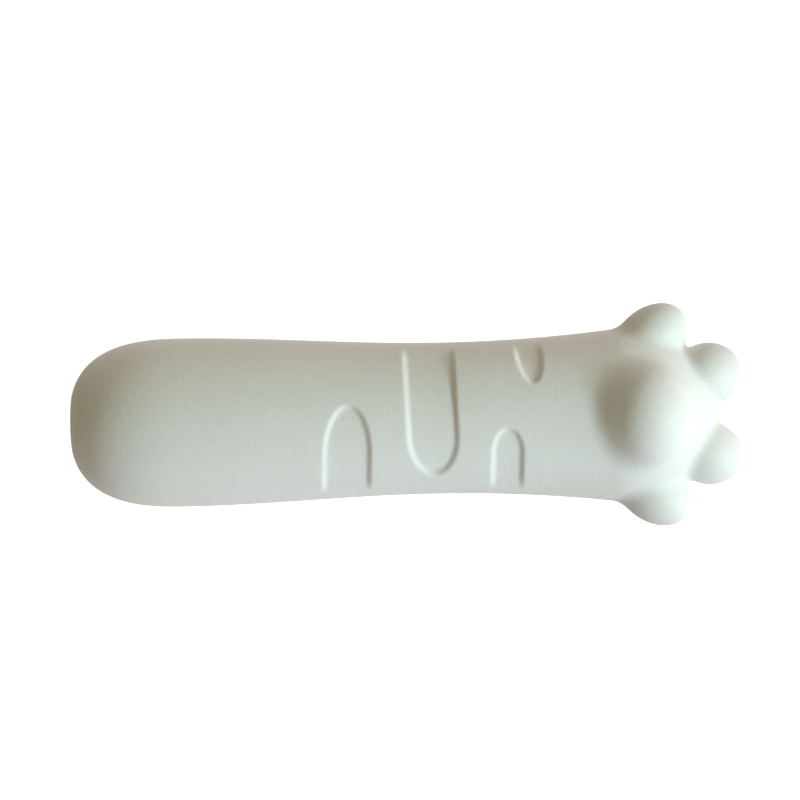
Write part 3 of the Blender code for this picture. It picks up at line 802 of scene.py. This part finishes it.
class BUMPER_OT_skins(bpy.types.Operator):
    """Makes the two soft skins, and the pad's crown"""

    bl_idname = "bumper.skins"
    bl_label = "Soft skins"

    def execute(self, context):
        size = context.scene.bumper_form
        form = Form(size)
        vinyl = soft_vinyl("soft_white_vinyl", context.scene.bumper_finish)
        skins = {}
        for name, half in (("palm_skin", 1), ("back_skin", -1)):
            bm = skin_half(form, size, half)
            skins[name] = new_piece(name + "_vinyl", bm, vinyl, "soft_white_vinyl", "bumper", name)
            cut(skins[name], self.heel_hole(size))
        self.part_crown(skins["palm_skin"], PLACE.axis + size.crown_height)
        return {"FINISHED"}

    def heel_hole(self, size):
        """A closed tool that cuts the plug's hole with its chamfered mouth."""
        start, _, radius = PLACE.on_leg("heel_plug")
        mouth, side = radius + HOLE_CHAMFER, radius + size.gap / 2
        behind, ahead = -0.004, 0.008  # clear of the skin on both sides
        profile = [(0, behind), (mouth, behind), (mouth, -0.0005)]
        profile += [(side, 0.0006), (side, ahead), (0, ahead)]
        return turned(eased(profile, 0.0004), (start, 0, PLACE.axis), (1, 0, 0))

    def part_crown(self, skin, height):
        """Makes a piece of its own of the pad's crown, which goes in when the squeaker is pressed.

        Both pieces keep the whole skin's normals, so that no line shows between them."""
        whole = bmesh.new()
        whole.from_mesh(skin.data)
        geometry = whole.verts[:] + whole.edges[:] + whole.faces[:]
        bmesh.ops.bisect_plane(whole, geom=geometry, plane_co=(0, 0, height), plane_no=(0, 0, 1))
        whole.to_mesh(skin.data)
        whole.free()
        normals = np.array([n.vector for n in skin.data.corner_normals])
        kept = skin.data.attributes.new("kept_normal", "FLOAT_VECTOR", "CORNER")
        kept.data.foreach_set("vector", normals.astype(np.float32).ravel())
        crown = linked("pad_crown_vinyl", skin.data.copy())
        for piece, side in ((skin, 1), (crown, -1)):
            bm = bmesh.new()
            bm.from_mesh(piece.data)
            beyond = [f for f in bm.faces if side * (f.calc_center_median().z - height) > 0]
            bmesh.ops.delete(bm, geom=beyond, context="FACES")
            rims = [e for e in bm.edges if e.is_boundary]
            faces = bmesh.ops.bridge_loops(bm, edges=rims)["faces"]
            layer = bm.loops.layers.float_vector["kept_normal"]
            for face in faces:
                for corner in face.loops:
                    corner[layer] = (0, 0, side)
            bm.to_mesh(piece.data)
            bm.free()
            stored = piece.data.attributes["kept_normal"]
            normals = np.zeros(len(piece.data.loops) * 3, np.float32)
            stored.data.foreach_get("vector", normals)
            piece.data.attributes.remove(stored)
            piece.data.normals_split_custom_set(normals.reshape(-1, 3).tolist())
        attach(crown, "bumper")
        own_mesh(crown)


# Foam


class BUMPER_OT_floats(bpy.types.Operator):
    """Makes the two foam floats inside the skins, and the rod that fills the tube"""

    bl_idname = "bumper.floats"
    bl_label = "Foam floats"

    def execute(self, context):
        size = context.scene.bumper_form
        form = Form(size)
        foam = cut_foam("float_foam", tuple(context.scene.bumper_finish.foam))
        for name, half in (("palm_float", 1), ("back_float", -1)):
            bm = self.half_float(form, size, half)
            piece = new_piece(name + "_foam", bm, foam, "float_foam", "bumper", name)
            tools = [self.tube_bed(size)]
            if half == 1:
                tools.append(self.squeaker_pocket(size))
            cut(piece, *tools)
        rod = eased(rod_profile(*PLACE.on_leg("spacer_rod")), 0.0007)
        rod = turned(rod, (0, 0, PLACE.axis), (1, 0, 0))
        piece = new_piece("spacer_rod_foam", rod, foam, "float_foam", "bumper", "spacer_rod")
        return {"FINISHED"}

    def half_float(self, form, size, half):
        bm = unit_ball(size.around // 2, size.along // 2, half)
        ball = ball_points(bm.verts)
        places = form.cast(ball, -size.skin_wall - size.gap, with_pad=False)
        places[on_rim(ball), 2] = half * size.gap / 2
        put(bm.verts, places + [0, 0, PLACE.axis])
        bmesh.ops.holes_fill(bm, edges=[e for e in bm.edges if e.is_boundary])
        bmesh.ops.recalc_face_normals(bm, faces=bm.faces[:])
        return bm

    def tube_bed(self, size):
        """A closed tool for the tube, its flange and its cap."""
        heel, _, flange = PLACE.on_leg("core_tube")
        _, cap_end, _ = PLACE.on_leg("tube_end_cap")
        neck, wide = TUBE_RADIUS + size.gap, flange + size.gap
        step, end = heel + FLANGE_THICKNESS + 2 * size.gap, cap_end + size.gap
        bed = [(0, PLACE.heel), (wide, PLACE.heel), (wide, step), (neck, step), (neck, end), (0, end)]
        return turned(eased(bed, 0.0005), (0, 0, PLACE.axis), (1, 0, 0))

    def squeaker_pocket(self, size):
        """A closed tool for the squeaker's cup, open at the pad."""
        floor, _, radius = PLACE.under_pad("squeaker_cup")
        bottom, top = floor - size.gap, PLACE.axis + size.pad_top
        pocket = rod_profile(bottom, top, radius + size.gap)
        return turned(eased(pocket, 0.0006), (PLACE.pad, 0, 0), (0, 0, 1))


# Core


class BUMPER_OT_core(bpy.types.Operator):
    """Makes the core tube, its end cap and the steel slug in it"""

    bl_idname = "bumper.core"
    bl_label = "Core tube and weight"

    def execute(self, context):
        finish = context.scene.bumper_finish
        milky = milky_plastic("milky_polyethylene", tuple(finish.milky))
        zinc = plated_steel("zinc_plated_steel", tuple(finish.zinc))
        start, end, flange = PLACE.on_leg("core_tube")
        seat_radius, seat_depth = SEAL_SEAT
        tube = [
            (TUBE_RADIUS, end),
            (TUBE_RADIUS, start + FLANGE_THICKNESS),
            (flange, start + FLANGE_THICKNESS),
            (flange, start),
            (seat_radius, start),
            (seat_radius, start + seat_depth),
            (TUBE_BORE, start + seat_depth),
            (TUBE_BORE, end),
        ]
        back, front, radius = PLACE.on_leg("tube_end_cap")
        face, spigot = end + PLAY, TUBE_BORE - PLAY
        cap = [(0, front), (radius, front), (radius, face), (spigot, face), (spigot, back), (0, back)]
        slug = rod_profile(*PLACE.on_leg("ballast_slug"))
        pieces = (
            ("core_tube", "_milky", eased_ring(tube, 0.0004), milky, "natural_polyethylene"),
            ("tube_end_cap", "_milky", eased(cap, 0.0005), milky, "natural_polyethylene"),
            ("ballast_slug", "_zinc", eased(slug, 0.0009), zinc, "zinc_plated_steel"),
        )
        for node, ending, profile, material, slot in pieces:
            bm = turned(profile, (0, 0, PLACE.axis), (1, 0, 0))
            new_piece(node + ending, bm, material, slot, "bumper", node)
        return {"FINISHED"}


# Plug


class BUMPER_OT_plug(bpy.types.Operator):
    """Makes the screw plug with its thread and coin slot, and the rubber seal behind its head"""

    bl_idname = "bumper.plug"
    bl_label = "Heel plug"

    def execute(self, context):
        finish = context.scene.bumper_finish
        plastic = hard_plastic("white_hard_plastic", tuple(finish.plug), tuple(finish.plug_scuffed))
        slot = "white_hard_plastic"
        start, end, radius = PLACE.on_leg("heel_plug")
        head = PLACE.on_leg("core_tube")[0] - PLAY
        body = [(0, end), (PLUG_CORE, end), (PLUG_CORE, head), (radius, head), (radius, start), (0, start)]
        bm = turned(eased(body, 0.0006), (0, 0, PLACE.axis), (1, 0, 0))
        piece = new_piece("heel_plug_plastic", bm, plastic, slot, "plug", "heel_plug")
        cut(piece, eased_box((start, 0, PLACE.axis), COIN_SLOT, 0.0007))
        thread = self.thread(head + 0.0016, end - 0.0012)
        new_piece("heel_plug_thread", thread, plastic, slot, "plug")
        rubber = black_rubber("black_rubber", tuple(finish.rubber))
        new_piece("heel_seal_rubber", self.seal(), rubber, "black_rubber", "seal", "heel_seal")
        return {"FINISHED"}

    def thread(self, start, end):
        """A closed helical ridge that runs out at both of its ends."""
        bm = bmesh.new()
        heights = [PLACE.axis + (THREAD_CREST if crest else PLUG_CORE) for _, crest in THREAD_FORM]
        heights[0] -= THREAD_ROOT
        heights[-1] -= THREAD_ROOT
        places = [start + THREAD_LEAD * along for along, _ in THREAD_FORM]
        section = bm.faces.new([bm.verts.new((x, 0, z)) for x, z in zip(places, heights)])
        turns = (end - start) / THREAD_LEAD
        steps = round(turns * THREAD_SIDES)
        bmesh.ops.spin(
            bm,
            geom=[section],
            cent=(0, 0, PLACE.axis),
            axis=(1, 0, 0),
            dvec=((end - start) / steps, 0, 0),
            angle=-math.tau * turns,
            steps=steps,
        )
        for vert in bm.verts:
            out = Vector((0, vert.co.y, vert.co.z - PLACE.axis))
            share = (vert.co.x - start) / (end - start)
            rise = min(1, max(0, 10 * min(share, 1 - share)))  # full after a tenth of the thread
            if out.length > PLUG_CORE:
                vert.co -= out * (1 - rise) * (1 - PLUG_CORE / out.length)
        bmesh.ops.remove_doubles(bm, verts=bm.verts[:], dist=1e-6)
        bmesh.ops.recalc_face_normals(bm, faces=bm.faces[:])
        return bm

    def seal(self):
        front, back, radius = PLACE.on_leg("heel_seal")
        section = (back - front) / 2
        turns = [math.tau * n / SEAL_SIDES for n in range(SEAL_SIDES)]
        profile = [
            (radius - section + section * math.cos(a), front + section + section * math.sin(a))
            for a in turns
        ]
        return turned(profile, (0, 0, PLACE.axis), (1, 0, 0))


# Squeaker


class BUMPER_OT_squeaker(bpy.types.Operator):
    """Makes the squeaker's cup, reed, bellows and button"""

    bl_idname = "bumper.squeaker"
    bl_label = "Squeaker"

    def execute(self, context):
        finish = context.scene.bumper_finish
        milky = bpy.data.materials["milky_polyethylene"]
        plastic = bpy.data.materials["white_hard_plastic"]
        poly = "natural_polyethylene"
        cup, holder = self.cup_and_holder()
        new_piece("squeaker_cup_milky", cup, milky, poly, "bumper", "squeaker_cup")
        new_piece("reed_holder_plastic", holder, plastic, "white_hard_plastic", "bumper", "reed_holder")
        low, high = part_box("squeaker_reed")
        reed = eased_box((low + high) / 2, high - low, 0.00012)
        brass = rolled_brass("brass", tuple(finish.brass))
        new_piece("squeaker_reed_brass", reed, brass, "brass", "bumper", "squeaker_reed")
        name = "squeaker_bellows"
        piece = new_piece(name + "_milky", self.bellows(), milky, poly, "bumper", name)
        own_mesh(piece)
        name = "squeaker_button"
        new_piece(name + "_milky", self.button(), milky, poly, "squeaker", name)
        return {"FINISHED"}

    def turned_under_pad(self, profile, sides=96):
        return turned(profile, (PLACE.pad, 0, 0), (0, 0, 1), sides)

    def cup_and_holder(self):
        """The cup, and the reed's holder in the hole of its floor."""
        low, high, radius = PLACE.under_pad("squeaker_cup")
        seat, _, _ = PLACE.under_pad("squeaker_bellows")
        bottom, top, rim = PLACE.under_pad("reed_holder")
        stem = rim - HOLDER_RIM
        hole, wall, floor = stem + PLAY, radius - CUP_WALL, seat - PLAY
        cup = [(radius, high), (radius, low), (hole, low), (hole, floor), (wall, floor), (wall, high)]
        holder = [
            (stem, top),
            (stem, seat + HOLDER_RIM),
            (rim, seat + HOLDER_RIM),
            (rim, seat),
            (stem, seat),
            (stem, bottom),
            (REED_BORE, bottom),
            (REED_BORE, top),
        ]
        cup_mesh = self.turned_under_pad(eased_ring(cup, 0.0004))
        return cup_mesh, self.turned_under_pad(eased_ring(holder, 0.00025), 64)

    def bellows(self):
        low, high, crest = PLACE.under_pad("squeaker_bellows")
        outer = []
        for n in range(FOLD_STEPS + 1):
            share = n / FOLD_STEPS
            wave = 0.5 - 0.5 * math.cos(math.tau * FOLDS * share)
            outer.append((crest - FOLD_DEPTH * (1 - wave**0.8), low + (high - low) * share))
        inner = [(radius - BELLOWS_WALL, height) for radius, height in reversed(outer)]
        return self.turned_under_pad(outer + inner)

    def button(self):
        low, high, radius = PLACE.under_pad("squeaker_button")
        skirt = low + BUTTON_SKIRT
        angles = [math.pi / 2 * n / DOME_STEPS for n in range(DOME_STEPS + 1)]
        dome = [(radius * math.sin(a), skirt + (high - skirt) * math.cos(a)) for a in angles]
        foot = [(radius, low + BUTTON_CHAMFER), (radius - BUTTON_CHAMFER, low), (0, low)]
        return self.turned_under_pad(dome + foot)


# Stage


class BUMPER_OT_stage(bpy.types.Operator):
    """Sets the table, the lights and the camera"""

    bl_idname = "bumper.stage"
    bl_label = "Studio"

    def execute(self, context):
        studio = context.scene.bumper_studio
        self.make_table()
        self.make_lights(studio)
        self.make_world(context, studio)
        self.make_camera(context, studio)
        return {"FINISHED"}

    def make_table(self):
        bm = bmesh.new()
        bmesh.ops.create_grid(bm, x_segments=2, y_segments=2, size=4)
        mesh = mesh_of("table_top", bm)
        mesh.materials.append(table_top("white_sweep"))
        table = linked("table_top", mesh)
        table.visible_diffuse = False
        table.visible_glossy = False

    def add_light(self, name, place, target, size, power, shade):
        light = bpy.data.lights.new(name, "AREA")
        light.shape = "RECTANGLE"
        light.size, light.size_y = size
        light.energy = power
        light.color = shade
        lamp = linked(name, light)
        lamp.location = place
        lamp.rotation_euler = (target - place).to_track_quat("-Z", "Y").to_euler()

    def make_lights(self, studio):
        middle = Vector((0, 0, PLACE.axis))
        toes = Vector((PLACE.tip, 0, PLACE.axis))
        level = KEY_DISTANCE * math.cos(KEY_RISE)
        rise = KEY_DISTANCE * math.sin(KEY_RISE)
        key = middle + Vector((level * math.cos(KEY_TURN), level * math.sin(KEY_TURN), rise))
        self.add_light("key", key, middle, (0.4, 0.3), studio.key_power, studio.key_colour)
        self.add_light("toes", toes + TOE_LIGHT, toes, (0.12, 0.12), studio.toe_power, studio.toe_colour)
        side = middle + SIDE_LIGHT
        self.add_light("side", side, middle, (0.6, 0.4), studio.fill_power, studio.fill_colour)

    def make_world(self, context, studio):
        """Lights the bumper from all round, most from beyond the toes, and shows white to the camera."""
        world = bpy.data.worlds.new("studio")
        world.use_nodes = True
        context.scene.world = world
        nodes = Nodes(world.node_tree)
        direction = nodes.value("ShaderNodeTexCoord", {}, {}, "Generated")
        axes = nodes.node("ShaderNodeSeparateXYZ", {}, {0: direction})
        toes = 0.5 + 0.5 * Value(nodes, axes.outputs["X"])
        table = 0.5 - 0.5 * Value(nodes, axes.outputs["Z"])
        layers = (
            (studio.room_colour, studio.room_strength),
            (studio.table_colour, toes * table * studio.table_strength),
            (studio.beyond_colour, toes * toes * studio.beyond_strength),
        )
        light = None
        for shade, strength in layers:
            layer = nodes.value("ShaderNodeBackground", {}, {"Color": (*shade, 1), "Strength": strength})
            light = nodes.value("ShaderNodeAddShader", {}, {0: light, 1: layer}) if light else layer
        white = nodes.value("ShaderNodeBackground", {}, {"Color": (1, 1, 1, 1), "Strength": 1})
        camera = nodes.value("ShaderNodeLightPath", {}, {}, "Is Camera Ray")
        shown = nodes.value("ShaderNodeMixShader", {}, {0: camera, 1: light, 2: white})
        nodes.link(shown, world.node_tree.nodes["World Output"].inputs["Surface"])
        context.scene.view_settings.view_transform = "Standard"

    def make_camera(self, context, studio):
        data = bpy.data.cameras.new("camera")
        data.sensor_width = 36
        data.lens = 36 * studio.camera_distance / studio.picture_width
        data.clip_end = 20
        camera = linked("camera", data)
        camera.location = (*CAMERA_ASIDE, PLACE.axis + studio.camera_distance)
        camera.rotation_euler = (0, 0, CAMERA_TURN)
        context.scene.camera = camera


GROUPS = {"bumper_form": BumperForm, "bumper_finish": BumperFinish, "bumper_studio": BumperStudio}
OPERATORS = (
    BUMPER_OT_skins,
    BUMPER_OT_floats,
    BUMPER_OT_core,
    BUMPER_OT_plug,
    BUMPER_OT_squeaker,
    BUMPER_OT_stage,
)


class BUMPER_PT_panel(bpy.types.Panel):
    """Lists the bumper's sizes, colours and pieces"""

    bl_idname = "BUMPER_PT_panel"
    bl_label = "Paw training bumper"
    bl_space_type = "VIEW_3D"
    bl_region_type = "UI"
    bl_category = "Bumper"

    def draw(self, context):
        for group, kind in GROUPS.items():
            box = self.layout.box()
            for name in kind.__annotations__:
                box.prop(getattr(context.scene, group), name)
        for operator in OPERATORS:
            self.layout.operator(operator.bl_idname)


def register():
    for kind in (*GROUPS.values(), *OPERATORS, BUMPER_PT_panel):
        bpy.utils.register_class(kind)
    for name, kind in GROUPS.items():
        setattr(bpy.types.Scene, name, PointerProperty(type=kind))


def unregister():
    for name in GROUPS:
        delattr(bpy.types.Scene, name)
    for kind in reversed((*GROUPS.values(), *OPERATORS, BUMPER_PT_panel)):
        bpy.utils.unregister_class(kind)


def main():
    register()
    for operator in OPERATORS:
        getattr(bpy.ops.bumper, operator.bl_idname.split(".")[1])()


if __name__ == "__main__":
    main()
